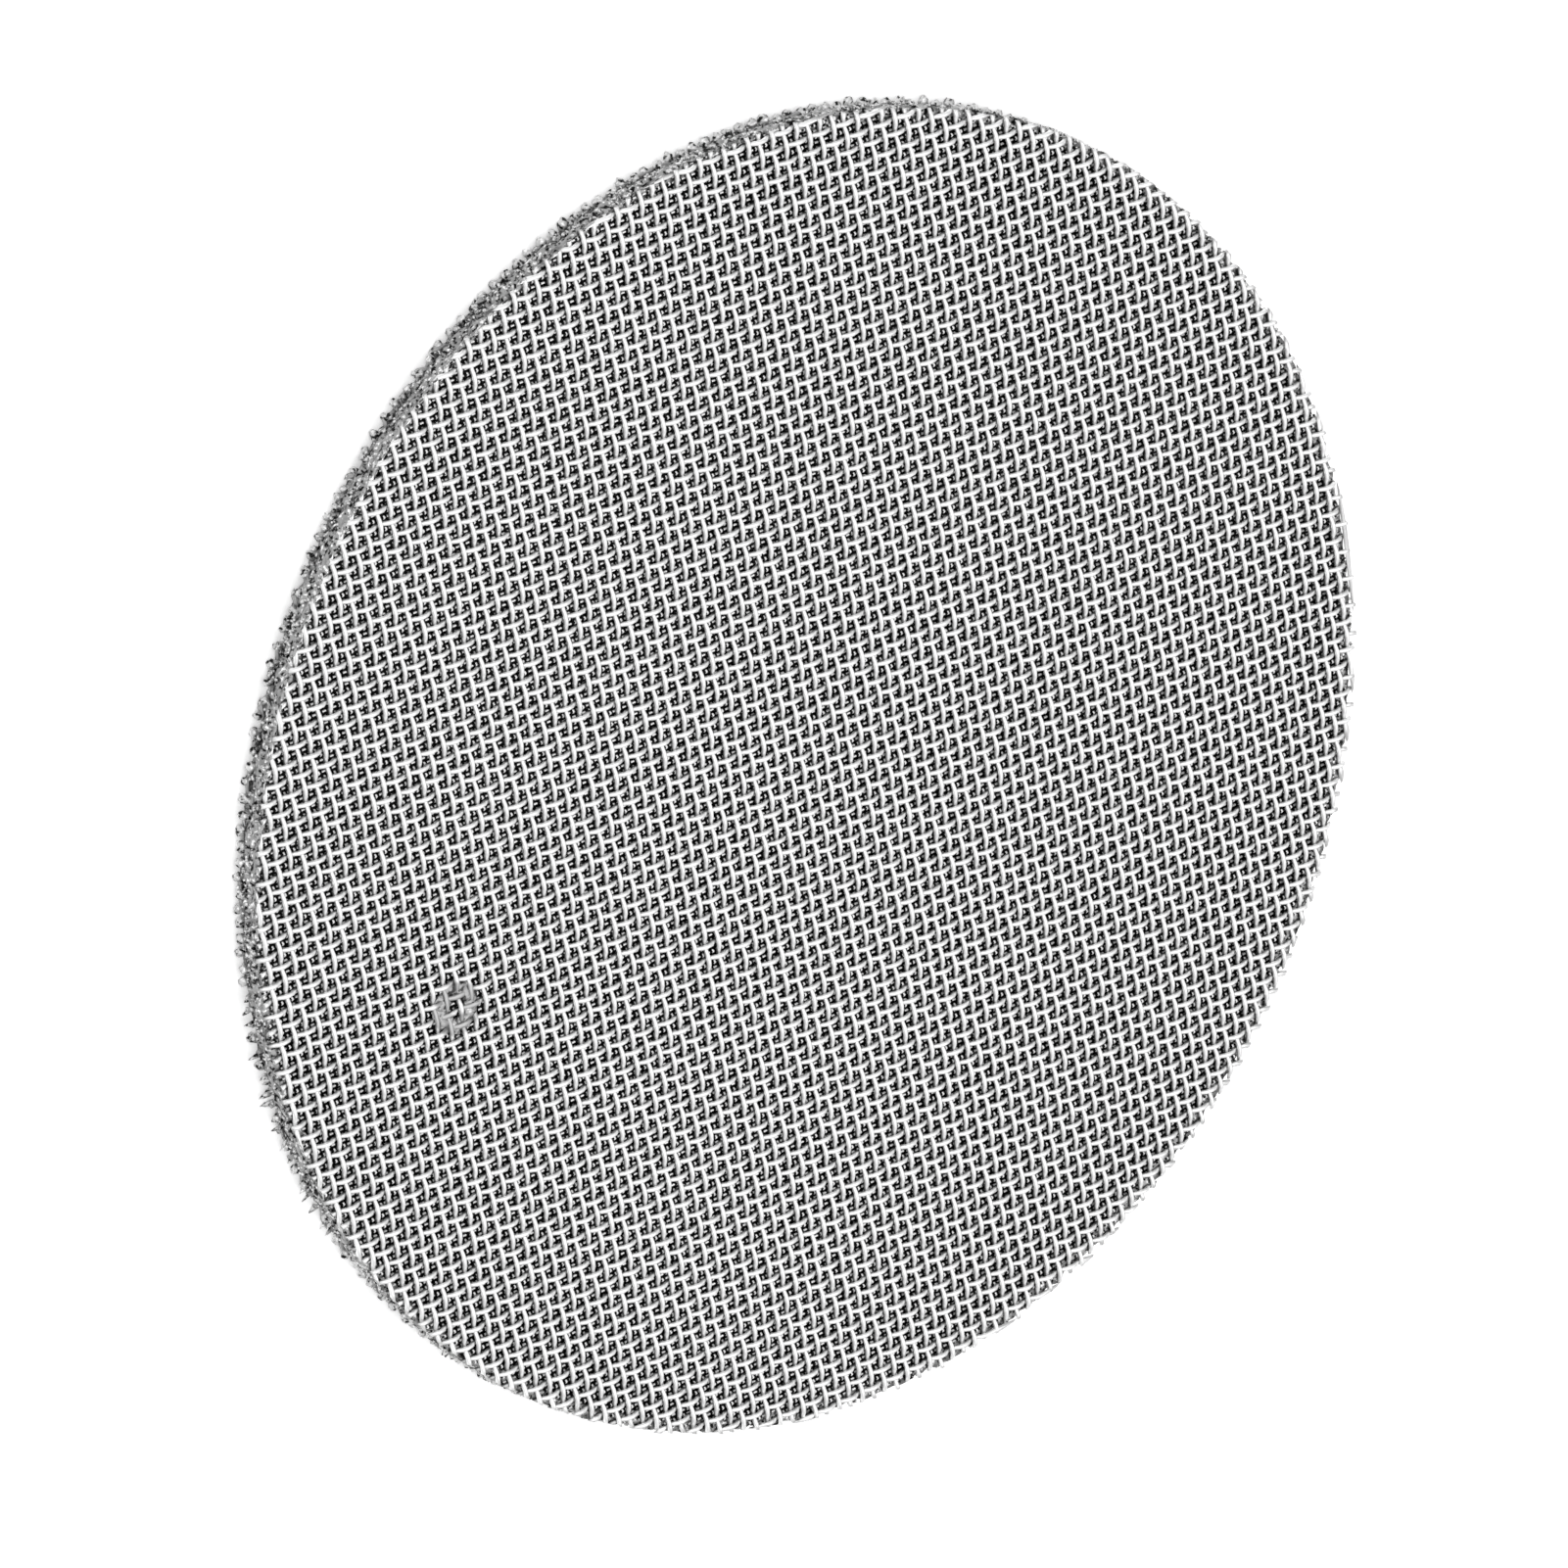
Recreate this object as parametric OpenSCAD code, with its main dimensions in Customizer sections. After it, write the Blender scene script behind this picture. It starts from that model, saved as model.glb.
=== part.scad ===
// Wire mesh filter disc: a round of sintered wire mesh, punched from a stack of woven sheets.
// A coarse woven sheet faces each side, and a wall of fine mesh lies fused between the two.
// The disc lies flat on its back face. The origin is the middle of that face, and +Z is up.

/* [Disc] */
// Diameter of the punched disc
disc_d = 58.5; // [40:0.5:80]
// Thickness of the fused fine sheets between the two coarse sheets
fine_t = 0.78; // [0.3:0.02:2]

/* [Coarse weave] */
// Thickness of a coarse wire, from flat to flat
wire_d = 0.23; // [0.15:0.01:0.35]
// Distance between neighbouring warp wires, which run along Y
warp_pitch = 0.627; // [0.5:0.001:1]
// Distance of the warp wire next to the middle of the disc, along X
warp_shift = 0.268; // [0:0.001:0.4]
// Distance between neighbouring weft wires, which run along X
weft_pitch = 0.653; // [0.5:0.001:1]
// Distance of the weft wire next to the middle of the disc, along Y
weft_shift = 0.093; // [0:0.001:0.4]

/* [Tack weld] */
// Outer diameter of the ring that the tacking electrode pressed into the front warp wires
tack_d = 1.9; // [1:0.1:4]
// Width of the pressed ring
tack_w = 0.55; // [0.2:0.05:0.8]
// Depth of the pressed ring
tack_depth = 0.07; // [0.02:0.01:0.1]
// Distance of the tack weld from the middle of the disc, along X
tack_x = -20; // [-20:0.5:20]
// Distance of the tack weld from the middle of the disc, along Y
tack_y = -2.9; // [-10:0.1:10]

/* [Hidden] */

disc_r = disc_d / 2;
disc_steps = 180;

// A wire has a few flats, so that it beds flat on the wires that it crosses and on the fine mesh
wire_flats = 8;
wire_corner_d = wire_d / cos(180 / wire_flats);
wire_turn = 180 / wire_flats;

// The stack from the back face to the front, each layer bedded on the one below
back_warp_z = wire_d / 2;
back_weft_z = back_warp_z + wire_d;
fine_z = back_weft_z + wire_d / 2;
front_weft_z = fine_z + fine_t + wire_d / 2;
front_warp_z = front_weft_z + wire_d;
front_z = front_warp_z + wire_d / 2;

// The outermost wire of a row is the last one that is still as long as it is thick
row_reach = sqrt(pow(disc_r, 2) - pow(wire_d / 2, 2)) - wire_d / 2;

// Cut that clears the front face above the pressed ring
tack_clear = wire_d;

// Number of wires before and after the one next to the middle
function wires_before(pitch, shift) = floor((row_reach + shift) / pitch);
function wires_after(pitch, shift) = floor((row_reach - shift) / pitch);

// Length of a wire whose corners reach the disc's edge, at a distance from the middle
function wire_length(offset) = 2 * sqrt(pow(disc_r, 2) - pow(abs(offset) + wire_d / 2, 2));

// One wire along Y, with a flat facing up
module wire(length) {
    rotate([90, 0, 0])
        rotate([0, 0, wire_turn])
            cylinder(d = wire_corner_d, h = length, center = true, $fn = wire_flats);
}

// Parallel wires along Y, trimmed to the round of the disc
module wire_row(pitch, shift) {
    for (i = [-wires_before(pitch, shift) : wires_after(pitch, shift)]) {
        offset = shift + i * pitch;
        translate([offset, 0, 0])
            wire(wire_length(offset));
    }
}

module warp_row(z) {
    translate([0, 0, z])
        wire_row(warp_pitch, warp_shift);
}

module weft_row(z) {
    translate([0, 0, z])
        rotate([0, 0, 90])
            wire_row(weft_pitch, weft_shift);
}

// Ring that the electrode pressed below the front face
module tack_ring() {
    translate([tack_x, tack_y, front_z - tack_depth])
        difference() {
            cylinder(d = tack_d, h = tack_clear, $fn = disc_steps);
            translate([0, 0, -tack_clear])
                cylinder(d = tack_d - 2 * tack_w, h = 3 * tack_clear, $fn = disc_steps);
        }
}

module front_warp_wires() {
    color([0.80, 0.80, 0.81])
        difference() {
            warp_row(front_warp_z);
            tack_ring();
        }
}

module front_weft_wires() {
    color([0.74, 0.74, 0.75])
        weft_row(front_weft_z);
}

module fine_mesh_wall() {
    color([0.42, 0.42, 0.43])
        translate([0, 0, fine_z])
            cylinder(r = disc_r, h = fine_t, $fn = disc_steps);
}

module back_weft_wires() {
    color([0.74, 0.74, 0.75])
        weft_row(back_weft_z);
}

module back_warp_wires() {
    color([0.80, 0.80, 0.81])
        warp_row(back_warp_z);
}

front_warp_wires();
front_weft_wires();
fine_mesh_wall();
back_weft_wires();
back_warp_wires();
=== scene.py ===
# %% [markdown]
# # A wire mesh filter disc
# The real disc is punched from a plate of sintered wire mesh: a coarse woven sheet on each face, and finer
# sheets pressed between them. This lesson dresses the plain CAD solids with what the eye sees: wires that
# bend over and under each other, fine mesh in the openings, a torn punched edge and one tack weld.

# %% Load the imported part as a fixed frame
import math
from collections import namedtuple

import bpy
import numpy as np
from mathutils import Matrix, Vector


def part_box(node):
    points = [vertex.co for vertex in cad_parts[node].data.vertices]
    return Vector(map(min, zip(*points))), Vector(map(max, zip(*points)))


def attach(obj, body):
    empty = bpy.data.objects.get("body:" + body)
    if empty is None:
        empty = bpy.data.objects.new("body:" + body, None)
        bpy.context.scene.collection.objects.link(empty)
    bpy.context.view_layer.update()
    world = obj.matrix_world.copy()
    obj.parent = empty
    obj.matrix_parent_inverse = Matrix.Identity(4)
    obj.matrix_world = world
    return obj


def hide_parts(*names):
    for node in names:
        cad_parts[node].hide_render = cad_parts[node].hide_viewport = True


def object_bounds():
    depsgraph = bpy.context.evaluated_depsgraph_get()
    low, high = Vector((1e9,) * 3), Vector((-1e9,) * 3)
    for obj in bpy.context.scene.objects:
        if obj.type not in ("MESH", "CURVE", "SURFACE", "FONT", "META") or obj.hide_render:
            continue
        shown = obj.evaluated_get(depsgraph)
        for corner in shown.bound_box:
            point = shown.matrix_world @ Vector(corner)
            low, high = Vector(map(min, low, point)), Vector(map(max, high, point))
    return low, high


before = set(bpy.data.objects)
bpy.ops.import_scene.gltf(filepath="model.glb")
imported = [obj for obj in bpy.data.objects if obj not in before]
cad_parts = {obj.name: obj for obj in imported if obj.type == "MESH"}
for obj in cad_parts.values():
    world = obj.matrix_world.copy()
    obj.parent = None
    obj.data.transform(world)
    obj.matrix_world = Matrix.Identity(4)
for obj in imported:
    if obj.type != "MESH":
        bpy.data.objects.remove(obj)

# %% [markdown]
# ## Sizes come from the frame
# Blender works in metres, and a wire of a quarter of a millimetre is easier to read in millimetres. So
# every size below is in millimetres, and one factor turns it into metres when a mesh is made. The disc's
# radius, the thickness of a wire and the heights of the sheets are measured on the CAD solids, never typed
# in.

MM = 0.001
cad_low, cad_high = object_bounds()


def heights_of(node):
    """Lowest and highest point of a CAD node, in millimetres."""
    low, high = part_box(node)
    return low.z / MM, high.z / MM


disc_r = (cad_high.x - cad_low.x) / 2 / MM
front_low, _ = heights_of("front_weft_wires")
wire_low, front_high = heights_of("front_warp_wires")
back_low, _ = heights_of("back_warp_wires")
_, back_high = heights_of("back_weft_wires")
wire_r = (front_high - wire_low) / 2
print(f"disc radius {disc_r:.2f} mm, wire radius {wire_r:.3f} mm")
print(f"back sheet {back_low:.2f} to {back_high:.2f} mm, front sheet {front_low:.2f} to {front_high:.2f} mm")

# %% [markdown]
# ## The camera
# The camera looks down on the disc from the side where the punched edge shows. It could be given as a
# matrix, but nobody can read one. So it is placed the way a photographer would say it: the point to aim at,
# the compass direction, the height angle and the distance. Then it is rolled about its own line of sight,
# because the picture was framed with the near edge at the left.

# %% Place the camera
PHOTO_PIXELS = 1601
SENSOR_WIDTH = 36.0
FOCAL_PIXELS = 10885.0
AIM_POINT = Vector((-2.214, 0.660, front_high))
CAMERA_AZIMUTH = math.radians(-129.333)
CAMERA_ELEVATION = math.radians(49.319)
CAMERA_ROLL = math.radians(113.410)
CAMERA_DISTANCE = 452.46
NEAREST_SEEN = 0.01


def make_camera():
    data = bpy.data.cameras.new("camera")
    data.sensor_width = SENSOR_WIDTH
    data.lens = SENSOR_WIDTH * FOCAL_PIXELS / PHOTO_PIXELS
    data.clip_start = NEAREST_SEEN
    camera = bpy.data.objects.new("camera", data)
    bpy.context.scene.collection.objects.link(camera)
    level = math.cos(CAMERA_ELEVATION)
    back = Vector((math.sin(CAMERA_AZIMUTH) * level, -math.cos(CAMERA_AZIMUTH) * level,
                   math.sin(CAMERA_ELEVATION)))
    turn = back.to_track_quat("Z", "Y").to_matrix().to_4x4() @ Matrix.Rotation(CAMERA_ROLL, 4, "Z")
    camera.matrix_world = Matrix.Translation((AIM_POINT + back * CAMERA_DISTANCE) * MM) @ turn
    bpy.context.scene.camera = camera
    return camera


camera = make_camera()
print("lens", round(camera.data.lens, 1), "mm")

# %% [markdown]
# ## The weave
# In a plain weave each wire passes over one crossing wire and under the next, so its middle line is a wave.
# The two waves share the room between them: on this cloth the warp wires stay nearly straight and the weft
# wires do most of the bending, which is why the warp shows as long strokes and the weft as short ones. A
# pure cosine gives thin, pointed crowns. Real wire is stiff and lies flat over its neighbour, so the cosine
# is filled out a little, and the highest crowns are cut level, as the press left them.

# %% Describe the rows of wires
Row = namedtuple("Row", "pitch shift lean swing")
warp = Row(pitch=0.6272, shift=0.268, lean=-0.0036, swing=0.085)
weft = Row(pitch=0.6530, shift=0.093, lean=-0.0060, swing=0.13)
FIRST_CROSSING_OVER = 1
CROWN_FILL = 0.3
CROWN_PRESS = 0.03
WIRE_STRAY = 0.012
INCH = 25.4
SEED = 40
draw = np.random.default_rng(SEED)


def crimp(t):
    """Height of a wire at crossing t, from 1 over a whole even crossing to -1 under an odd one."""
    c = np.cos(np.pi * t)
    return c * (1 + CROWN_FILL - CROWN_FILL * c * c)


def crimp_slope(t):
    """How fast that height changes at crossing t."""
    c = np.cos(np.pi * t)
    return -np.pi * np.sin(np.pi * t) * (1 + CROWN_FILL - 3 * CROWN_FILL * c * c)


def row_numbers(row, reach):
    """Numbers of the wires of a row that lie within reach of the middle."""
    first = math.ceil((-reach - row.shift) / row.pitch)
    last = math.floor((reach - row.shift) / row.pitch)
    return range(first, last + 1)


def chord(offset, radius):
    """Half the length that a circle leaves for a wire at an offset from its middle."""
    return math.sqrt(max(radius ** 2 - offset ** 2, 0.0))


print(f"wires to the inch: warp {INCH / warp.pitch:.1f}, weft {INCH / weft.pitch:.1f}")

# %% [markdown]
# ## How deep the punch cut the ends
# A punch doesn't cut every wire at the same place: some break a little further in than their neighbours.
# One clean cylinder cut would make the rim look machined, so each end gets a random depth. The coarse wires
# end close to the edge, and the fine ones are sunk behind the metal that was dragged over them.

# %% Say how far inside the edge a wire may end
COARSE_BITE = (0.0, 0.10)
FINE_BITE = (0.15, 0.35)
print(f"ends lie up to {COARSE_BITE[1]} mm inside for coarse wires and {FINE_BITE[1]} mm for fine ones")

# %% [markdown]
# ## One wire as a tube of rings
# A curve object with a bevel would make these tubes too, but it gives no say over where the rings fall or
# how the ends are cut. Here each wire is a stack of rings that stand square to its path. The end rings are
# pulled to the round of the disc, so each wire is cut along the punched edge, and each end gets a cap.

# %% Build wires as tubes
RING_ROOM = 0.05
SHORTEST_WIRE = 0.25


class TubeSet:
    """Collects the rings of many wires, to become one mesh."""

    def __init__(self, sides):
        self.sides = sides
        self.angles = np.pi / 2 + (np.arange(sides) + 0.5) * 2 * np.pi / sides
        self.points = []
        self.walls = []
        self.caps = []
        self.tips = []
        self.count = 0

    def add_wire(self, rings):
        """rings: one row for each ring, one column for each side, three coordinates each."""
        number, sides, _ = rings.shape
        base = self.count + np.arange(number * sides).reshape(number, sides)
        near, far = base[:-1], base[1:]
        walls = np.stack([near, far, np.roll(far, -1, 1), np.roll(near, -1, 1)], -1)
        self.points.append(rings.reshape(-1, 3))
        self.walls.append(walls.reshape(-1, 4))
        self.caps += [base[0], base[-1, ::-1]]
        self.tips += [rings[0].mean(0), rings[-1].mean(0)]
        self.count += number * sides


def body_rings(tubes, offset, lean, places, bend, radius):
    """Rings square to the bent path of a wire, one for each place along it."""
    heights, slopes = bend(places)
    tilt = np.arctan(slopes)[:, None]
    wide = np.cos(tubes.angles)[None, :] * radius
    tall = np.sin(tubes.angles)[None, :] * radius
    along = places[:, None] - tall * np.sin(tilt)
    across = offset + lean * places[:, None] + wide
    return np.stack([across, along, heights[:, None] + tall * np.cos(tilt)], -1)


def end_ring(tubes, offset, lean, way, bend, radius, bite):
    """The last ring at one end of a wire, cut along the round of the disc. way is -1 or 1 along the wire."""
    reach = disc_r - draw.uniform(*bite)
    place = way * chord(offset, reach)
    height, _ = bend(np.array([place]))
    across = offset + lean * place + np.cos(tubes.angles) * radius
    room = np.maximum(reach ** 2 - across ** 2, SHORTEST_WIRE ** 2 / 4)
    return np.stack([across, way * np.sqrt(room), height + np.sin(tubes.angles) * radius], -1)[None]


def add_cut_wire(tubes, offset, lean, places, bend, radius, bite):
    """Adds one wire at an offset, with rings at the places that lie between its two ends."""
    low = end_ring(tubes, offset, lean, -1, bend, radius, bite)
    high = end_ring(tubes, offset, lean, 1, bend, radius, bite)
    body = body_rings(tubes, offset, lean, places, bend, radius)
    after_low = body[:, :, 1].min(1) > low[:, :, 1].max() + RING_ROOM
    before_high = body[:, :, 1].max(1) < high[:, :, 1].min() - RING_ROOM
    tubes.add_wire(np.concatenate([low, body[after_low & before_high], high]))


# %% [markdown]
# ## Rows of wires
# A loom lays the wires of a row side by side at one pitch, and each lies over where its neighbour lies
# under. An array modifier could repeat one wire, but every wire of a disc has its own length, and on real
# cloth no two lie quite true. So a row is a loop. It moves each wire a little at random, puts its rings at
# the crossings, and turns its wave over from one wire to the next.

# %% Build rows of wires
def weave_row(row, crossing, numbers, over, middle, radius, sides, steps, bite):
    """A row of crimped wires. steps are the places of the rings round a crossing, as shares of the pitch."""
    tubes = TubeSet(sides)
    for number in numbers:
        offset = row.shift + number * row.pitch + draw.normal(0, WIRE_STRAY)
        half = chord(offset, disc_r)
        if 2 * half < SHORTEST_WIRE:
            continue
        start = crossing.shift + crossing.lean * offset
        crossings = np.arange(math.floor((-half - start) / crossing.pitch),
                              math.ceil((half - start) / crossing.pitch) + 1)
        places = start + crossing.pitch * (crossings[:, None] + np.array(steps)[None, :]).ravel()
        rise = over * (-1) ** (number + FIRST_CROSSING_OVER) * row.swing

        def bend(place):
            t = (place - start) / crossing.pitch
            return middle + rise * crimp(t), rise * crimp_slope(t) / crossing.pitch

        add_cut_wire(tubes, offset, row.lean, places, bend, radius, bite)
    return tubes


def straight_row(row, middle, radius, sides, bite):
    """A row of straight wires, for the fine sheets that show only as dark depth and as cut ends."""
    tubes = TubeSet(sides)
    for number in row_numbers(row, disc_r - radius):
        offset = row.shift + number * row.pitch
        if 2 * chord(offset, disc_r) < SHORTEST_WIRE:
            continue

        def bend(place):
            return np.full(len(place), middle), np.zeros(len(place))

        add_cut_wire(tubes, offset, row.lean, np.zeros(1), bend, radius, bite)
    return tubes


# %% [markdown]
# ## The tack weld
# Before the stack was sintered, its sheets were tacked together by an electrode with a hollow tip. It left
# a ring near the left edge where the crowns are pressed flat. A sculpted dent would do, but it would have
# to be made again after each change of the weave. Here every point of the front weave under that ring is
# lowered to one level. Later a little smeared metal fills the ring, and the finish greys it.

# %% Press the tack ring into the weave
TACK_PLACE = (-20.0, -2.9)
TACK_INNER = 0.42
TACK_OUTER = 1.10
TACK_DEPTH = 0.10
TACK_GREY = 0.50
TACK_SOFT = 0.2


def press_tack(points):
    """Lowers the points under the tack ring, and says how many there are."""
    away = np.hypot(points[:, 0] - TACK_PLACE[0], points[:, 1] - TACK_PLACE[1])
    ring = (away > TACK_INNER) & (away < TACK_OUTER)
    points[ring, 2] = np.minimum(points[ring, 2], front_high - TACK_DEPTH)
    return int(ring.sum())


# %% [markdown]
# ## From rings to Blender objects
# Every row was built as if its wires ran along Y. A weft row runs along X, so its two level coordinates
# trade places. That mirrors the tubes, so their faces are turned over to point outward again. The walls are
# shaded smooth and the cut ends flat, and the two get a material slot each.

# %% Turn tube sets into objects
def make_object(name, points, faces, node):
    """A mesh object from millimetre points, which rides on the disc and stands for a CAD node."""
    mesh = bpy.data.meshes.new(name)
    mesh.from_pydata((points * MM).tolist(), [], faces)
    piece = bpy.data.objects.new(name, mesh)
    bpy.context.scene.collection.objects.link(piece)
    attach(piece, "root")
    if node:
        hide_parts(node)
    mesh.calc_loop_triangles()
    print(f"{name}: {len(mesh.loop_triangles)} triangles")
    return piece


def wires_object(name, tubes, along_x, level, node, tacked=False):
    """Makes the mesh of a tube set, cut level at two heights."""
    points = np.concatenate(tubes.points)
    points[:, 2] = np.clip(points[:, 2], *level)
    walls = np.concatenate(tubes.walls)
    caps = np.array(tubes.caps)
    if along_x:
        points = points[:, [1, 0, 2]]
        walls = walls[:, ::-1]
        caps = caps[:, ::-1]
    if tacked:
        print(name, "points under the tack ring:", press_tack(points))
    piece = make_object(name, points, walls.tolist() + caps.tolist(), node)
    wall = np.arange(len(piece.data.polygons)) < len(walls)
    piece.data.polygons.foreach_set("use_smooth", wall)
    piece.data.polygons.foreach_set("material_index", (~wall).astype(np.int32))
    piece.data.update()
    return piece


# %% [markdown]
# ## The coarse sheets
# The front sheet is what the camera sees, so its wires get three rings at each crossing: one on the crown
# and one on each flank. The back sheet shows only its ends at the rim and gets one ring a crossing, enough
# for a true weave. A row of the front is made in two halves, so that no mesh grows too heavy to handle.

# %% Make the two coarse sheets
FRONT_SIDES = 6
BACK_SIDES = 5
ROUND_STEPS = (-1 / 3, 0, 1 / 3)
PLAIN_STEPS = (0,)
WARP_AXIS, WEFT_AXIS = 1, 0
front_middle = front_high + CROWN_PRESS - weft.swing - wire_r
back_middle = back_low - CROWN_PRESS + weft.swing + wire_r
front_warps, front_wefts, back_warps, back_wefts = [], [], [], []


def halves(row, radius):
    """Numbers of the wires of a row, in two halves."""
    numbers = list(row_numbers(row, disc_r - radius))
    middle = len(numbers) // 2
    return numbers[:middle], numbers[middle:]


for half, numbers in zip(("left", "right"), halves(warp, wire_r)):
    tubes = weave_row(warp, weft, numbers, 1, front_middle, wire_r, FRONT_SIDES, ROUND_STEPS, COARSE_BITE)
    front_warps.append(wires_object(f"front_warp_weave_{half}", tubes, False, (front_low, front_high),
                                    "front_warp_wires", tacked=True))
for half, numbers in zip(("near", "far"), halves(weft, wire_r)):
    tubes = weave_row(weft, warp, numbers, -1, front_middle, wire_r, FRONT_SIDES, ROUND_STEPS, COARSE_BITE)
    front_wefts.append(wires_object(f"front_weft_weave_{half}", tubes, True, (front_low, front_high),
                                    "front_weft_wires", tacked=True))

tubes = weave_row(warp, weft, row_numbers(warp, disc_r - wire_r), 1, back_middle, wire_r, BACK_SIDES,
                  PLAIN_STEPS, COARSE_BITE)
back_tips = [(tip, WARP_AXIS) for tip in tubes.tips]
back_warps.append(wires_object("back_warp_weave", tubes, False, (back_low, back_high),
                               "back_warp_wires"))
tubes = weave_row(weft, warp, row_numbers(weft, disc_r - wire_r), -1, back_middle, wire_r, BACK_SIDES,
                  PLAIN_STEPS, COARSE_BITE)
back_tips += [(tip[[1, 0, 2]], WEFT_AXIS) for tip in tubes.tips]
back_wefts.append(wires_object("back_weft_weave", tubes, True, (back_low, back_high),
                               "back_weft_wires"))

# %% [markdown]
# ## The fine sheets
# Through each opening shows a much finer weave, as two or three bright crowns over darkness. Its top row is
# crimped like the coarse one, with three-sided wires, because a crown there is as small as a speck. The
# rows under it are straight: they give the depth something to be, and the rim its many small cut ends. A
# bump map would be lighter, but it has no crowns that hide each other and no dark room between the wires.

# %% Make the fine sheets
FINE_R = 0.055
FINE_SIDES = 3
STRAIGHT_SIDES = 5
FINE_RISE = 0.21
FINE_NEST = 2.4 * FINE_R
FINE_STEP = 2 * FINE_R
fine_warp = Row(pitch=0.254, shift=0.03, lean=0.0, swing=2 * FINE_R)
fine_weft = Row(pitch=0.254, shift=0.05, lean=0.0, swing=2 * FINE_R)
fine_top = front_low + FINE_RISE
fine_middle = fine_top - 3 * FINE_R
fine_warps, fine_wefts, fine_deep = [], [], []
for half, numbers in zip(("left", "right"), halves(fine_warp, FINE_R)):
    tubes = weave_row(fine_warp, fine_weft, numbers, 1, fine_middle, FINE_R, FINE_SIDES, PLAIN_STEPS,
                      FINE_BITE)
    fine_warps.append(wires_object(f"fine_warp_weave_{half}", tubes, False, (back_high, fine_top),
                                   "fine_mesh_wall"))

fine_levels = [fine_top - FINE_NEST - step * FINE_STEP for step in range(3)]
fine_levels += [back_high + FINE_R + FINE_STEP, back_high + FINE_R]
for number, level in enumerate(fine_levels):
    along_x = number % 2 == 0
    tubes = straight_row(fine_weft if along_x else fine_warp, level, FINE_R, STRAIGHT_SIDES, FINE_BITE)
    row = wires_object(f"fine_straight_row_{number + 1}", tubes, along_x, (back_high, fine_top),
                       "fine_mesh_wall")
    (fine_deep if number else fine_wefts).append(row)

# %% [markdown]
# ## The sheared edge
# The punch dragged metal over the cut ends of the fine sheets and left a rough grey band with pits between
# the wires. A modifier could displace a plain cylinder, but its inside would move too. So the edge is one
# closed ring: a grid of points round the rim, whose radius wanders by a smoothed random amount, closed by a
# plain wall on the inside where nothing shows.

# %% Make the sheared edge
EDGE_STEPS = 1300
EDGE_ROWS = 14
EDGE_HEIGHTS = np.linspace(back_low + 0.06, front_low + 0.10, EDGE_ROWS)
EDGE_INSET = 0.11
BACK_INSET = 0.30
INSET_CHANGE = (back_high - 0.10, back_high + 0.15)
EDGE_WANDER = 0.05
EDGE_LIMITS = (-0.12, 0.10)
WIDE_WAVE = 0.7
HEIGHT_WANDER = 0.03
EDGE_THICK = 0.60


def smooth_noise(shape, reach):
    """Random grid that closes on itself along its first axis, smoothed over a few neighbours."""
    grid = draw.normal(size=shape)
    for _ in range(reach):
        grid = (np.roll(grid, 1, 0) + 2 * grid + np.roll(grid, -1, 0)) / 4
    grid[:, 1:-1] = (grid[:, :-2] + 2 * grid[:, 1:-1] + grid[:, 2:]) / 4
    return grid / grid.std()


def ring_grid(radii, heights):
    """Closed ring whose section is a loop of points, each with a radius and a height at every step round."""
    steps, section = radii.shape
    turn = np.arange(steps) * 2 * np.pi / steps
    points = np.stack([radii * np.cos(turn)[:, None], radii * np.sin(turn)[:, None], heights], -1)
    base = np.arange(steps * section).reshape(steps, section)
    ahead = np.roll(base, -1, 0)
    faces = np.stack([base, ahead, np.roll(ahead, -1, 1), np.roll(base, -1, 1)], -1)
    return points.reshape(-1, 3), faces.reshape(-1, 4).tolist()


def sheared_edge():
    grid = EDGE_STEPS, EDGE_ROWS
    wander = EDGE_WANDER * (smooth_noise(grid, reach=2) + WIDE_WAVE * smooth_noise(grid, reach=12))
    inset = np.interp(EDGE_HEIGHTS, INSET_CHANGE, (BACK_INSET, EDGE_INSET))
    outer = disc_r - inset[None, :] + np.clip(wander, *EDGE_LIMITS)
    heights = EDGE_HEIGHTS[None, :] + HEIGHT_WANDER * smooth_noise(grid, reach=3)
    heights = np.maximum(heights, back_low)
    inner = np.full((EDGE_STEPS, 2), disc_r - EDGE_THICK)
    inner_heights = np.tile([EDGE_HEIGHTS[-1], EDGE_HEIGHTS[0]], (EDGE_STEPS, 1))
    points, faces = ring_grid(np.hstack([outer, inner]), np.hstack([heights, inner_heights]))
    piece = make_object("sheared_edge", points, faces, "fine_mesh_wall")
    piece.data.polygons.foreach_set("use_smooth", np.ones(len(faces), dtype=bool))
    return piece


edge = sheared_edge()

# %% [markdown]
# ## Burrs
# At the back, where the punch came out, each cut wire was spread into a knob, and along one stretch the
# knobs were drawn out to whiskers. A wire that ends square to the rim has a large knob, and one that was
# cut at a slant a small one. Between the coarse sheets the ends of the fine wires stand out as grains.
# Scattered copies of one lump would repeat, and the eye finds that at once. So each lump is its own: a low
# globe of rings whose points are pushed in and out at random, stretched along the rim, up and outward. All
# the lumps of a kind are one mesh.

# %% Make the burrs
WHISKER_ARC = (math.radians(176), math.radians(203))
WHISKER_SHARE = 0.65
WHISKER_SIZE = (0.16, 0.26), (0.14, 0.22), (0.28, 0.52)
WHISKER_POINT = 0.7
WHISKER_LEAN = 0.25
WHISKER_UNEVEN = 0.2
KNOB_SIZE = (0.22, 0.30), (0.20, 0.30), (0.24, 0.34)
SLANT_SHARE = 0.45
KNOB_INSET = 0.10, 0.22
KNOB_UNEVEN = 0.2
KNOB_LEVEL = back_low, back_high + 0.15
GRAIN_NUMBER = 1500
GRAIN_SIZE = 0.05, 0.12
GRAIN_INSET = 0.03, 0.13
GRAIN_HEIGHT = back_high, front_low + 0.08
GRAIN_UNEVEN = 0.3
GRAIN_LEVEL = back_low, front_low + 0.2


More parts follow.
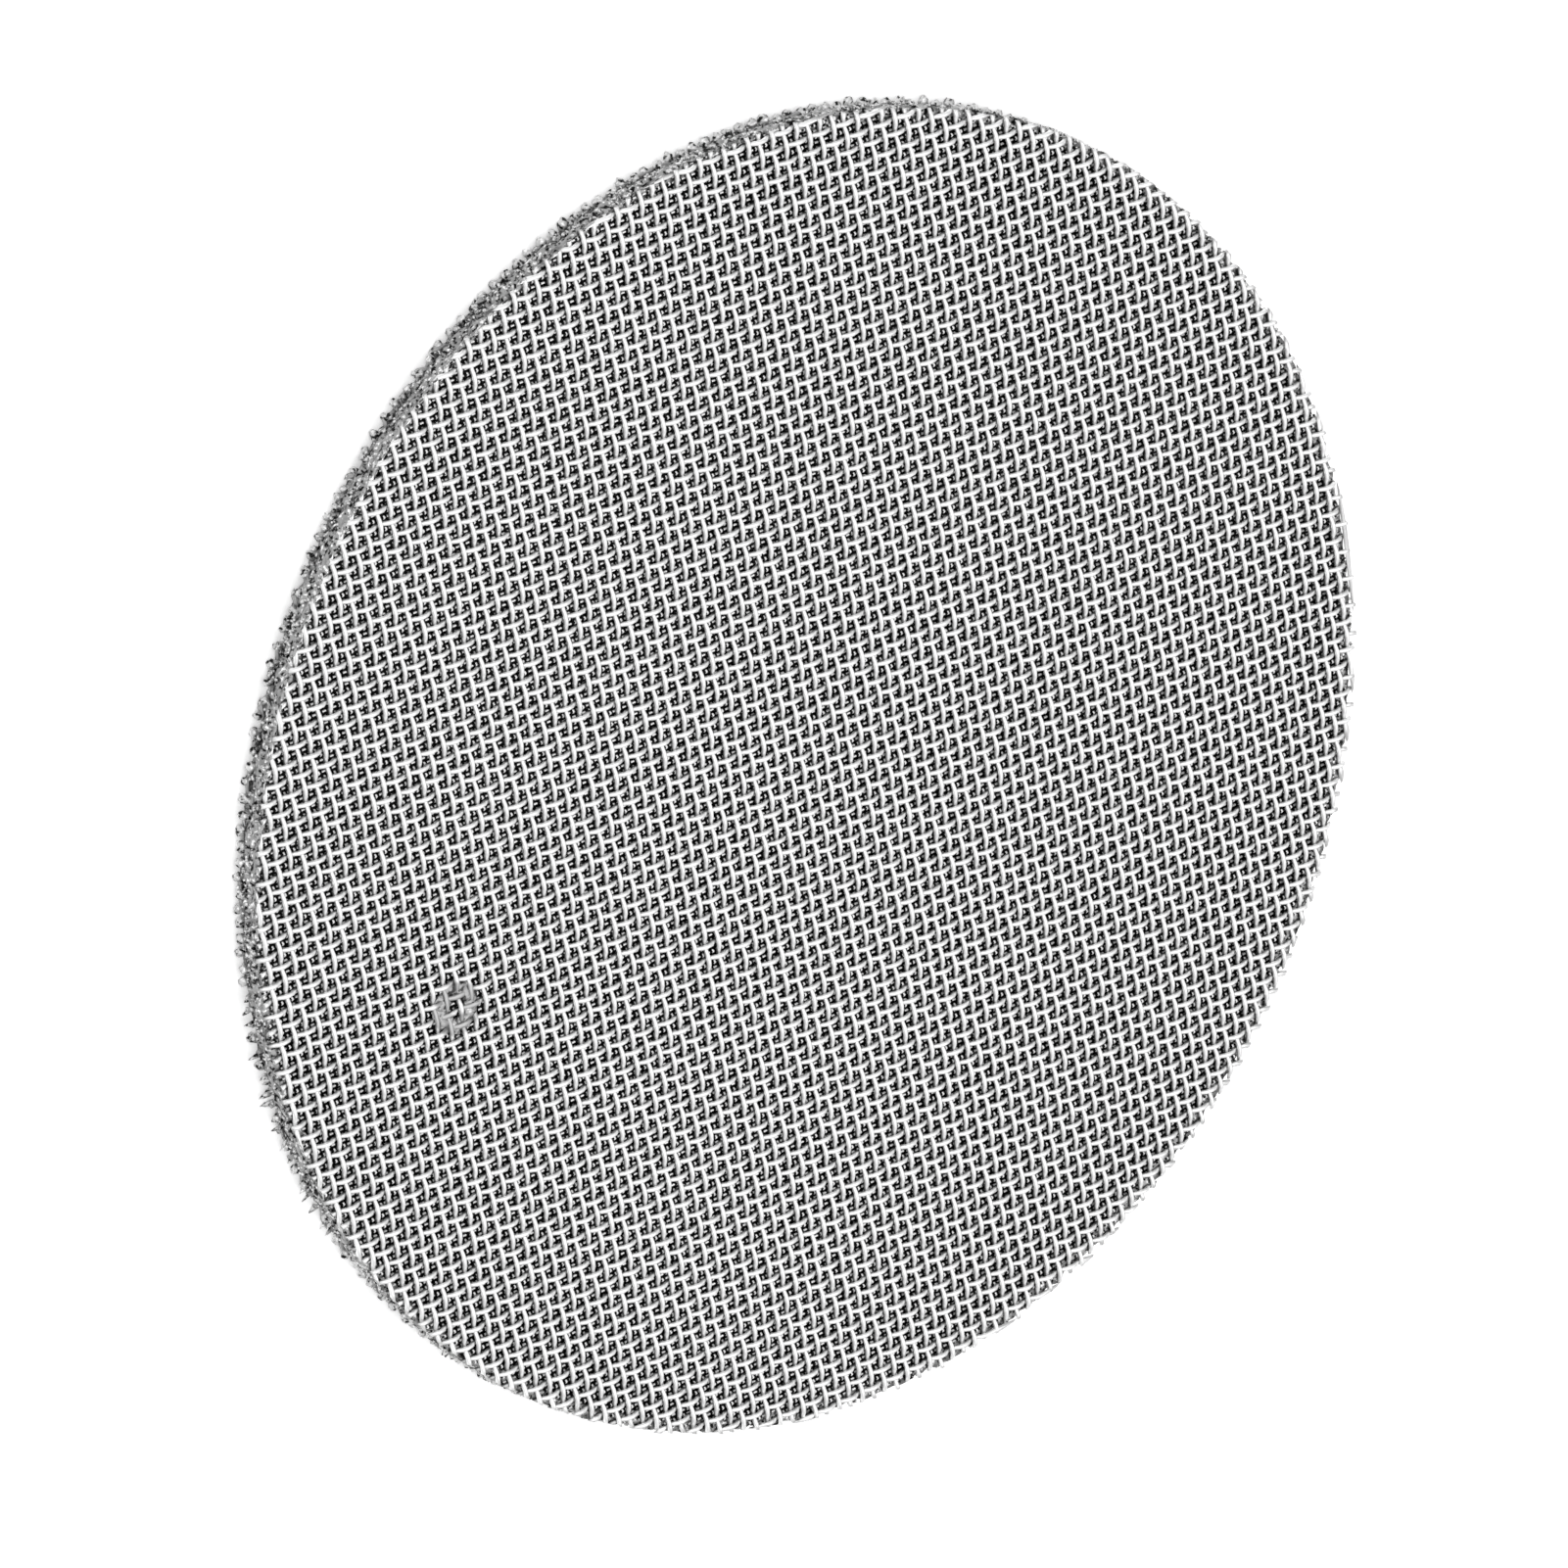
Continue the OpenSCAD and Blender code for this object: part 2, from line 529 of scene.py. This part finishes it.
class LumpSet:
    """Collects lumps of metal on the rim, to become one mesh."""

    def __init__(self, rings, sides):
        polar = (np.arange(rings) + 1) * np.pi / (rings + 1)
        turn = np.arange(sides) * 2 * np.pi / sides
        flat = np.sin(polar)[:, None]
        depth = np.tile(np.cos(polar)[:, None], sides)
        globe = np.stack([flat * np.cos(turn), flat * np.sin(turn), depth], -1)
        self.globe = np.concatenate([[[0, 0, 1]], globe.reshape(-1, 3), [[0, 0, -1]]])
        base = 1 + np.arange(rings * sides).reshape(rings, sides)
        ahead = np.roll(base, -1, 1)
        last = rings * sides + 1
        self.faces = [[0, a, b] for a, b in zip(base[0], ahead[0])]
        self.faces += np.stack([base[:-1], base[1:], ahead[1:], ahead[:-1]], -1).reshape(-1, 4).tolist()
        self.faces += [[last, b, a] for a, b in zip(base[-1], ahead[-1])]
        self.points, self.all_faces = [], []

    def add_lump(self, place, size, uneven, point=0.0, lean=(0.0, 0.0)):
        """A lump at a place on the rim.

        size is its half width along the rim, up and outward. point narrows it towards its outer tip, and lean
        moves that tip along the rim and up."""
        angle = math.atan2(place[1], place[0])
        along = np.array([-math.sin(angle), math.cos(angle), 0])
        outward = np.array([math.cos(angle), math.sin(angle), 0])
        start = len(self.points) * len(self.globe)
        bumps = self.globe * draw.uniform(1 - uneven, 1 + uneven, (len(self.globe), 1)) * np.array(size)
        out = (self.globe[:, 2:] + 1) / 2
        bumps[:, :2] = bumps[:, :2] * (1 - point * out) + out * np.array(lean)
        # the globe's first pole points outward, so a long lump ends in a tip
        self.points.append(place + bumps[:, :1] * along + bumps[:, 2:] * outward + bumps[:, 1:2] * (0, 0, 1))
        self.all_faces += [[start + int(corner) for corner in face] for face in self.faces]

    def make(self, name, level, node):
        points = np.concatenate(self.points)
        points[:, 2] = np.clip(points[:, 2], *level)
        piece = make_object(name, points, self.all_faces, node)
        piece.data.polygons.foreach_set("use_smooth", np.ones(len(self.all_faces), dtype=bool))
        return piece


def knob_burrs():
    """A knob or a whisker on each cut end of the back sheet, large where the wire ends square to the rim."""
    knobs = LumpSet(rings=5, sides=8)
    for tip, axis in back_tips:
        angle = math.atan2(tip[1], tip[0]) % (2 * math.pi)
        place = tip * (disc_r - draw.uniform(*KNOB_INSET)) / math.hypot(tip[0], tip[1])
        place[2] = tip[2]
        if WHISKER_ARC[0] < angle < WHISKER_ARC[1] and draw.random() < WHISKER_SHARE:
            size = [draw.uniform(*span) for span in WHISKER_SIZE]
            lean = draw.uniform(-WHISKER_LEAN, WHISKER_LEAN, 2)
            knobs.add_lump(place, size, WHISKER_UNEVEN, WHISKER_POINT, lean)
        else:
            size = np.array([draw.uniform(*span) for span in KNOB_SIZE])
            square = (tip[axis] / math.hypot(tip[0], tip[1])) ** 2
            knobs.add_lump(place, size * (SLANT_SHARE + (1 - SLANT_SHARE) * square), KNOB_UNEVEN)
    return knobs.make("back_burrs", KNOB_LEVEL, "back_warp_wires")


def grain_burrs():
    """Grains at random places between the coarse sheets."""
    grains = LumpSet(rings=2, sides=6)
    for _ in range(GRAIN_NUMBER):
        angle = draw.uniform(0, 2 * math.pi)
        reach = disc_r - draw.uniform(*GRAIN_INSET)
        height = draw.uniform(*GRAIN_HEIGHT)
        place = np.array([reach * math.cos(angle), reach * math.sin(angle), height])
        grains.add_lump(place, draw.uniform(*GRAIN_SIZE, 3), GRAIN_UNEVEN)
    return grains.make("fine_burrs", GRAIN_LEVEL, "fine_mesh_wall")


burrs = [knob_burrs(), grain_burrs()]

# %% [markdown]
# ## Smeared metal in the tack ring
# Between the pressed wires of the tack weld lies a little metal that ran and froze. It is a low ring with
# an uneven top, set just under the level of the pressed crowns, so that the wires still show through it. It
# uses the same closed ring as the sheared edge.

# %% Make the tack smear
SMEAR_STEPS = 72
SMEAR_SECTION = 12
SMEAR_SINK = 0.19
SMEAR_THICK = 0.12
SMEAR_SPREAD = 0.16
SMEAR_WAVE = 0.05


def tack_smear():
    middle_r, half_w = (TACK_INNER + TACK_OUTER) / 2, (TACK_OUTER - TACK_INNER) / 2
    turn = np.arange(SMEAR_SECTION) * 2 * np.pi / SMEAR_SECTION
    rough = smooth_noise((SMEAR_STEPS, SMEAR_SECTION), reach=2)
    radii = middle_r + half_w * np.cos(turn)[None, :] * (1 + SMEAR_SPREAD * rough)
    middle = front_high - TACK_DEPTH - SMEAR_SINK
    heights = middle + SMEAR_THICK * np.sin(turn)[None, :] + SMEAR_WAVE * rough
    points, faces = ring_grid(radii, heights)
    points[:, :2] += np.array(TACK_PLACE)
    piece = make_object("tack_smear", points, faces, None)
    piece.data.polygons.foreach_set("use_smooth", np.ones(len(faces), dtype=bool))
    return piece


smear = tack_smear()

# %% [markdown]
# ## Effects that the finishes share
# All the steel here is one metal in different states. Nodes could be copied from material to material, but
# then a change would have to be made in each. So the effects are shader node groups: built once, and placed
# in each material with its own values. A group only gives masks and values. The shader itself stays in the
# material.

# %% Helpers for shader nodes
def add_node(tree, kind, inputs=None, **settings):
    """Adds a node, sets its properties, and feeds its inputs with values or with other nodes' outputs."""
    node = tree.nodes.new(kind)
    for name, value in settings.items():
        setattr(node, name, value)
    for socket, value in (inputs or {}).items():
        if isinstance(value, bpy.types.NodeSocket):
            tree.links.new(value, node.inputs[socket])
        else:
            node.inputs[socket].default_value = value
    return node


def new_group(name, inputs, outputs):
    """An empty group. inputs map a name to a kind of socket and a default, and outputs name float sockets."""
    group = bpy.data.node_groups.new(name, "ShaderNodeTree")
    for socket, (kind, default) in inputs.items():
        item = group.interface.new_socket(socket, in_out="INPUT", socket_type=f"NodeSocket{kind}")
        item.default_value = default
    for socket in outputs:
        group.interface.new_socket(socket, in_out="OUTPUT", socket_type="NodeSocketFloat")
    return group, group.nodes.new("NodeGroupInput").outputs, group.nodes.new("NodeGroupOutput").inputs


def surface_place(tree):
    """Where a point lies on the disc, in metres."""
    return tree.nodes.new("ShaderNodeTexCoord").outputs["Object"]


def smooth_step(tree, value, low, high):
    """Ramp from 0 at low to 1 at high, with soft ends."""
    ramp = add_node(tree, "ShaderNodeMapRange", {"Value": value, "From Min": low, "From Max": high},
                    interpolation_type="SMOOTHSTEP")
    return ramp.outputs["Result"]


# %% [markdown]
# ## Painted shade below the crowns
# Woven wire is left bright on its crowns, and it is painted dark as shade where it dives under its
# neighbour, down in the weave. That shade could be painted wire by wire. But height alone says where it
# falls, so the mask is a soft ramp from one height to another.

# %% Group: painted shade below the crowns
def painted_shade_group():
    """Mask that is 0 in the depth of a sheet, where shade is painted dark, and 1 on its crowns."""
    group, given, out = new_group("painted_shade", {"Low": ("Float", 0.0), "High": ("Float", 1.0)}, ["Polish"])
    height = add_node(group, "ShaderNodeSeparateXYZ", {0: surface_place(group)}).outputs["Z"]
    group.links.new(smooth_step(group, height, given["Low"], given["High"]), out["Polish"])
    return group


# %% [markdown]
# ## Drawn grain
# Wire is pulled through a die, which leaves fine streaks along it. A noise that changes slowly along the
# wire and quickly across it looks like them. Warp and weft run in different directions, so the stretch is
# an input and one group serves both.

# %% Group: drawn grain
def drawn_grain_group():
    """Streaks that the drawing die left along a wire. Stretch is how fast they change along X, Y and Z."""
    group, given, out = new_group("drawn_grain", {"Stretch": ("Vector", (1.0, 1.0, 1.0))}, ["Streaks"])
    spread = add_node(group, "ShaderNodeVectorMath", {0: surface_place(group), 1: given["Stretch"]},
                      operation="MULTIPLY")
    noise = add_node(group, "ShaderNodeTexNoise", {"Vector": spread.outputs["Vector"], "Scale": 1.0,
                                                   "Detail": 0.0})
    group.links.new(noise.outputs["Fac"], out["Streaks"])
    return group


# %% [markdown]
# ## Painted highlights on the fine crowns
# In the openings only the crowns of the fine wires should catch light. Lamps alone would light their sides
# too, and the openings would turn grey. So the crowns get painted highlights as dots, and painted shade lies
# between them. The crowns lie at every second crossing, and the product of two cosines is high at just
# those places. So the dots follow the wires, without any picture of them.

# %% Group: painted highlights on the fine crowns
CROWN_HIGHLIGHT_EDGE = 0.36, 0.58


def painted_highlight_dots_group():
    """Painted highlights as dots where one row of a weave lies on top. Sign is 1 for the one row and -1 for
    the other.
    """
    group, given, out = new_group("painted_highlight_dots", {"Pitch": ("Float", 1.0), "Sign": ("Float", 1.0),
                                                    "Shift": ("Vector", (0.0, 0.0, 0.0))}, ["Dots"])
    moved = add_node(group, "ShaderNodeVectorMath", {0: surface_place(group), 1: given["Shift"]},
                     operation="SUBTRACT")
    step = add_node(group, "ShaderNodeMath", {0: math.pi, 1: given["Pitch"]}, operation="DIVIDE")
    phase = add_node(group, "ShaderNodeVectorMath", {0: moved.outputs["Vector"], "Scale": step.outputs[0]},
                     operation="SCALE")
    wave = add_node(group, "ShaderNodeVectorMath", {0: phase.outputs["Vector"]}, operation="COSINE")
    parts = add_node(group, "ShaderNodeSeparateXYZ", {0: wave.outputs["Vector"]}).outputs
    both = add_node(group, "ShaderNodeMath", {0: parts["X"], 1: parts["Y"]}, operation="MULTIPLY")
    own = add_node(group, "ShaderNodeMath", {0: both.outputs[0], 1: given["Sign"]}, operation="MULTIPLY")
    group.links.new(smooth_step(group, own.outputs[0], *CROWN_HIGHLIGHT_EDGE), out["Dots"])
    return group


# %% [markdown]
# ## The grey of the tack ring
# The hot electrode left the steel under it dull. A material of its own would end in a hard line across the
# wires. The mask here is 1 between two radii round a place on the disc, and it fades out on both sides.

# %% Group: the tack ring
def tack_ring_group():
    """Mask that is 1 in a ring round a place on the disc. Inner and Outer are its radii, Soft its blur."""
    group, given, out = new_group("tack_ring", {"Place": ("Vector", (0.0, 0.0, 0.0)), "Inner": ("Float", 0.0),
                                                "Outer": ("Float", 1.0), "Soft": ("Float", 0.1)}, ["Mark"])
    flat = add_node(group, "ShaderNodeVectorMath", {0: surface_place(group), 1: (1.0, 1.0, 0.0)},
                    operation="MULTIPLY")
    away = add_node(group, "ShaderNodeVectorMath", {0: flat.outputs["Vector"], 1: given["Place"]},
                    operation="DISTANCE").outputs["Value"]
    blur = add_node(group, "ShaderNodeMath", {0: given["Inner"], 1: given["Soft"]}, operation="SUBTRACT")
    past_inner = smooth_step(group, away, blur.outputs[0], given["Inner"])
    blur = add_node(group, "ShaderNodeMath", {0: given["Outer"], 1: given["Soft"]}, operation="ADD")
    past_outer = smooth_step(group, away, given["Outer"], blur.outputs[0])
    mark = add_node(group, "ShaderNodeMath", {0: past_inner, 1: past_outer}, operation="SUBTRACT")
    group.links.new(mark.outputs[0], out["Mark"])
    return group


# %% [markdown]
# ## Torn metal
# A punch shears the first part of its cut and tears the rest. What it leaves is mid grey and rough. Its
# hollows are painted dark as shade, and painted highlights stand for bright spots where a broken end faces
# the light. One noise gives all three: its low parts get the painted shade, its high parts the painted
# highlights, and the noise itself is the height for a bump.

# %% Group: torn metal
HOLLOW_SHADE_EDGE = 0.37, 0.47
SPECK_HIGHLIGHT_EDGE = 0.57, 0.68


def torn_metal_group():
    """The first mask is 0 in hollows, which are painted dark as shade; the second is 1 on broken ends, which
    are painted bright as highlights; Rough is a height for a bump.
    """
    group, given, out = new_group("torn_metal", {"Scale": ("Float", 1000.0)}, ["Pits", "SpeckHighlights", "Rough"])
    grit = add_node(group, "ShaderNodeTexNoise", {"Vector": surface_place(group), "Scale": given["Scale"],
                                                  "Detail": 2.0, "Roughness": 0.5}).outputs["Fac"]
    group.links.new(smooth_step(group, grit, *HOLLOW_SHADE_EDGE), out["Pits"])
    group.links.new(smooth_step(group, grit, *SPECK_HIGHLIGHT_EDGE), out["SpeckHighlights"])
    group.links.new(grit, out["Rough"])
    return group


painted_shade = painted_shade_group()
drawn_grain = drawn_grain_group()
painted_highlight_dots = painted_highlight_dots_group()
tack_ring = tack_ring_group()
torn_metal = torn_metal_group()
print("groups:", ", ".join(group.name for group in bpy.data.node_groups))

# %% [markdown]
# ## The finishes
# Stainless wire is bright on its crowns. The wires mix a bright steel with a dark grey of painted shade by
# height, the dark below, and the drawn grain wanders over both. The tack ring is greyer than the crowns.
# The fine mesh is painted nearly black as shade, with painted highlights as bright dots, and the rows
# under it are painted near black as shade, because they show only as depth. Cut and torn metal has no
# polish: it is mid grey, with painted shade in dark pits and painted highlights as bright specks. Each kind
# of steel is one function, so two finishes of a kind differ only in the values that they get.

# %% Helpers for steel
GRAIN_SHADE = 0.9, 1.06
WIRE_ROUGHNESS = 0.40, 0.56
FINE_METALLIC = 0.6
FINE_ROUGHNESS = 0.45
PLAIN_ROUGHNESS = 0.4
TORN_ROUGHNESS = 0.42
TORN_BUMP = 0.06


def place_group(tree, group, inputs):
    """Places a group in a material with its own values, and gives its outputs."""
    return add_node(tree, "ShaderNodeGroup", inputs, node_tree=group).outputs


def mix_color(tree, mask, first, second):
    """Mixes two colours by a mask. Each is a grey value or an output of another node."""
    mix = add_node(tree, "ShaderNodeMix", {"Factor": mask}, data_type="RGBA")
    for name, value in (("A", first), ("B", second)):
        socket = next(s for s in mix.inputs if s.name == name and s.type == "RGBA")
        if isinstance(value, bpy.types.NodeSocket):
            tree.links.new(value, socket)
        else:
            socket.default_value = (value, value, value, 1)
    return next(s for s in mix.outputs if s.type == "RGBA")


def new_steel(name, roughness):
    """An even metal, to which the finishes below add their own nodes."""
    material = bpy.data.materials.new(name)
    material.use_nodes = True
    shader = material.node_tree.nodes["Principled BSDF"].inputs
    shader["Metallic"].default_value = 1.0
    shader["Roughness"].default_value = roughness
    return material, material.node_tree, shader


def wire_steel(name, depth, crown, shade, stretch, tacked=False):
    """Woven wire: painted dark as shade at the first height of shade and bright at the second, with a drawn
    grain.
    """
    material, tree, shader = new_steel(name, WIRE_ROUGHNESS[0])
    unshaded = place_group(tree, painted_shade, {"Low": shade[0] * MM, "High": shade[1] * MM})["Polish"]
    streaks = place_group(tree, drawn_grain, {"Stretch": stretch})["Streaks"]
    dulled = mix_color(tree, streaks, *(min(crown * share, 1.0) for share in GRAIN_SHADE))
    # the dark grey below the crowns is painted shade
    color = mix_color(tree, unshaded, depth, dulled)
    if tacked:
        mark = place_group(tree, tack_ring, {"Place": (TACK_PLACE[0] * MM, TACK_PLACE[1] * MM, 0.0),
                                             "Inner": TACK_INNER * MM, "Outer": TACK_OUTER * MM,
                                             "Soft": TACK_SOFT * MM})["Mark"]
        color = mix_color(tree, mark, color, TACK_GREY)
    tree.links.new(color, shader["Base Color"])
    roughness = add_node(tree, "ShaderNodeMapRange", {"Value": streaks, "To Min": WIRE_ROUGHNESS[0],
                                                      "To Max": WIRE_ROUGHNESS[1]})
    tree.links.new(roughness.outputs["Result"], shader["Roughness"])
    return material


def fine_steel(name, depth, crown, sign):
    """Fine mesh: painted highlights as bright dots where its wires come up to the top, and painted shade
    between them.
    """
    material, tree, shader = new_steel(name, FINE_ROUGHNESS)
    shift = fine_warp.shift * MM, fine_weft.shift * MM, 0.0
    crown_highlights = place_group(tree, painted_highlight_dots, {"Pitch": fine_warp.pitch * MM, "Sign": sign,
                                             "Shift": shift})["Dots"]
    # painted highlights on the fine crowns, over painted shade between them
    tree.links.new(mix_color(tree, crown_highlights, depth, crown), shader["Base Color"])
    shader["Metallic"].default_value = FINE_METALLIC
    shader["Specular IOR Level"].default_value = 0.0
    return material


def shade_steel(name, grey):
    """Steel that shows only as depth, in one grey that is painted shade."""
    material, _, shader = new_steel(name, PLAIN_ROUGHNESS)
    shader["Base Color"].default_value = (grey, grey, grey, 1)
    return material


def torn_steel(name, hollow_shade, flat, speck_highlight, scale):
    """Cut, sheared or smeared metal: mid grey, with painted shade in dark pits and painted highlights as
    bright specks.
    """
    material, tree, shader = new_steel(name, TORN_ROUGHNESS)
    torn = place_group(tree, torn_metal, {"Scale": scale})
    # the pits are painted shade and the specks painted highlights
    pit_shaded = mix_color(tree, torn["Pits"], hollow_shade, flat)
    tree.links.new(mix_color(tree, torn["SpeckHighlights"], pit_shaded, speck_highlight), shader["Base Color"])
    bump = add_node(tree, "ShaderNodeBump", {"Height": torn["Rough"], "Strength": 1.0,
                                             "Distance": TORN_BUMP * MM})
    tree.links.new(bump.outputs["Normal"], shader["Normal"])
    return material


# %% Make and assign the finishes
GRAIN_ALONG, GRAIN_ACROSS = 500.0, 9000.0
warp_grain = GRAIN_ACROSS, GRAIN_ALONG, GRAIN_ACROSS
weft_grain = GRAIN_ALONG, GRAIN_ACROSS, GRAIN_ACROSS
# Between these heights the wires go from painted shade to bright; the back sheet is bright towards its
# bottom.
front_shade = front_low + 0.14, front_low + 0.30
back_shade = back_high + 0.04, back_low
# depth is the grey of the painted shade, crown the wire's own grey
front_greys = {"depth": 0.11, "crown": 0.94}
back_greys = {"depth": 0.30, "crown": 0.55}
# For the fine mesh, depth is painted shade and crown a painted highlight.
fine_greys = {"depth": 0.015, "crown": 0.95}
warp_bright = wire_steel("warp_bright", shade=front_shade, stretch=warp_grain, tacked=True, **front_greys)
weft_bright = wire_steel("weft_bright", shade=front_shade, stretch=weft_grain, tacked=True, **front_greys)
warp_back = wire_steel("warp_back", shade=back_shade, stretch=warp_grain, **back_greys)
weft_back = wire_steel("weft_back", shade=back_shade, stretch=weft_grain, **back_greys)
fine_warp_steel = fine_steel("fine_warp_steel", sign=-1.0, **fine_greys)
fine_weft_steel = fine_steel("fine_weft_steel", sign=1.0, **fine_greys)
# the deep fine rows are painted near black as shade
fine_painted_shade = shade_steel("fine_painted_shade", grey=0.03)
# In each torn finish the darkest grey is painted shade in the pits, and the brightest a painted highlight on
# broken ends.
cut_face = torn_steel("cut_face", hollow_shade=0.05, flat=0.36, speck_highlight=0.75, scale=5000.0)
torn_edge = torn_steel("torn_edge", hollow_shade=0.01, flat=0.33, speck_highlight=0.95, scale=4300.0)
burr_metal = torn_steel("burr_metal", hollow_shade=0.02, flat=0.66, speck_highlight=0.98, scale=4300.0)
tack_metal = torn_steel("tack_metal", hollow_shade=0.06, flat=0.40, speck_highlight=0.75, scale=3500.0)

for pieces, finish in ((front_warps, warp_bright), (front_wefts, weft_bright), (back_warps, warp_back),
                       (back_wefts, weft_back), (fine_warps, fine_warp_steel), (fine_wefts, fine_weft_steel),
                       (fine_deep, fine_painted_shade)):
    for piece in pieces:
        piece.data.materials.append(finish)
        piece.data.materials.append(cut_face)
edge.data.materials.append(torn_edge)
for piece in burrs:
    piece.data.materials.append(burr_metal)
smear.data.materials.append(tack_metal)
print("finishes:", ", ".join(material.name for material in bpy.data.materials if material.users))

# %% [markdown]
# ## Floor and light
# The disc lies on a plain white floor under an even white sky, as on a product table. Round wire mirrors
# nearly the whole room, so small lamps would give it hard sparks. One long soft box hangs level over the
# disc instead, along the line of sight. The top of every wire mirrors it, and it sends light down into the
# openings. The floor is lifted to white only for the camera and for mirrored and refracted rays. So it
# keeps the disc's shadow, the metal mirrors the floor that the camera sees, and the lift scatters no light
# onto the disc.

# %% Make the floor and the light
FLOOR_HALF = 1.0
FLOOR_WHITE = 0.92
FLOOR_ROUGHNESS = 0.9
FLOOR_LIFT = 0.32
SKY_LIGHT = 0.68


def make_floor():
    mesh = bpy.data.meshes.new("floor")
    h = FLOOR_HALF
    mesh.from_pydata([(-h, -h, 0), (h, -h, 0), (h, h, 0), (-h, h, 0)], [], [(0, 1, 2, 3)])
    floor = bpy.data.objects.new("floor", mesh)
    bpy.context.scene.collection.objects.link(floor)
    material = bpy.data.materials.new("pale_floor")
    material.use_nodes = True
    tree = material.node_tree
    shader = tree.nodes["Principled BSDF"].inputs
    shader["Base Color"].default_value = (FLOOR_WHITE, FLOOR_WHITE, FLOOR_WHITE, 1)
    shader["Roughness"].default_value = FLOOR_ROUGHNESS
    shader["Specular IOR Level"].default_value = 0.0
    rays = tree.nodes.new("ShaderNodeLightPath").outputs
    seen = rays["Is Camera Ray"]
    for kind in ("Is Glossy Ray", "Is Transmission Ray"):
        seen = add_node(tree, "ShaderNodeMath", {0: seen, 1: rays[kind]}, operation="MAXIMUM").outputs[0]
    lift = add_node(tree, "ShaderNodeMath", {0: seen, 1: FLOOR_LIFT}, operation="MULTIPLY")
    shader["Emission Color"].default_value = (1, 1, 1, 1)
    tree.links.new(lift.outputs[0], shader["Emission Strength"])
    mesh.materials.append(material)
    return floor


def soft_box(name, height, length, width, radiance):
    """A soft box that hangs level over the disc, its length along the line of sight.

    radiance is how bright its face looks, with 1 for white."""
    data = bpy.data.lights.new(name, "AREA")
    data.shape = "RECTANGLE"
    data.size = length
    data.size_y = width
    data.energy = radiance * math.pi * length * width
    light = bpy.data.objects.new(name, data)
    bpy.context.scene.collection.objects.link(light)
    light.location = (0, 0, height)
    light.rotation_euler = (0, 0, CAMERA_AZIMUTH - math.pi / 2)
    return light


def make_sky():
    world = bpy.data.worlds.new("studio")
    world.use_nodes = True
    sky = world.node_tree.nodes["Background"].inputs
    sky["Color"].default_value = (1, 1, 1, 1)
    sky["Strength"].default_value = SKY_LIGHT
    bpy.context.scene.world = world


make_floor()
lamp = soft_box("soft_box", height=0.6, length=1.6, width=0.9, radiance=0.85)
make_sky()
bpy.context.scene.view_settings.view_transform = "Standard"
print(f"lamp {lamp.data.energy:.2f} W, sky {SKY_LIGHT}")
